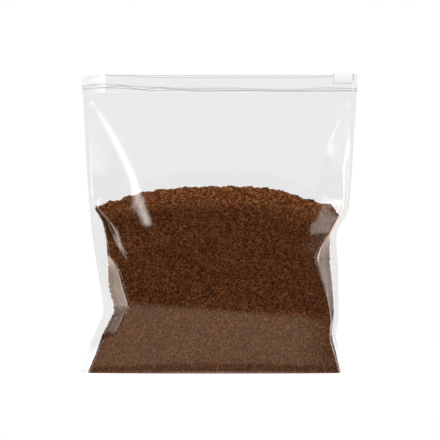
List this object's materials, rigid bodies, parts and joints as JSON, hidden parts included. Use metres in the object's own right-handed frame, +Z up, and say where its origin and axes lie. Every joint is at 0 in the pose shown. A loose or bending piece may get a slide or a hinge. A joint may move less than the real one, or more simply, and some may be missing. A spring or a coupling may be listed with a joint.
{
  "type": "slider zip bag of ground coffee",
  "caption": "Clear plastic bag with a slider zip along its top, about half filled with brown ground coffee and standing on its flattened base.",
  "frame": {"origin": "on the ground, under the middle of the bag", "axes": "+Z up from the base to the zip, +X along the zip towards the closed slider, -Y out of the front of the bag"},
  "size_m": [0.2518, 0.089, 0.274],
  "materials": {
    "clear_film": "thin clear glossy polyethylene film, lightly creased",
    "ground_coffee": null,
    "clear_zip": "clear glossy extruded polyethylene",
    "slider": "white moulded plastic, satin"
  },
  "bodies": {
    "filled_bag": {"bag": "clear_film", "zip_rail_front": "clear_zip", "zip_rail_back": "clear_zip", "end_weld_left": "clear_zip", "end_weld_right": "clear_zip"},
    "slider": {"slider": "slider"}
  },
  "joints": [
    {"name": "slider_slide", "type": "slide", "parent": "filled_bag", "child": "slider", "axis": [1, 0, 0], "range_m": [-0.207, 0]}
  ]
}
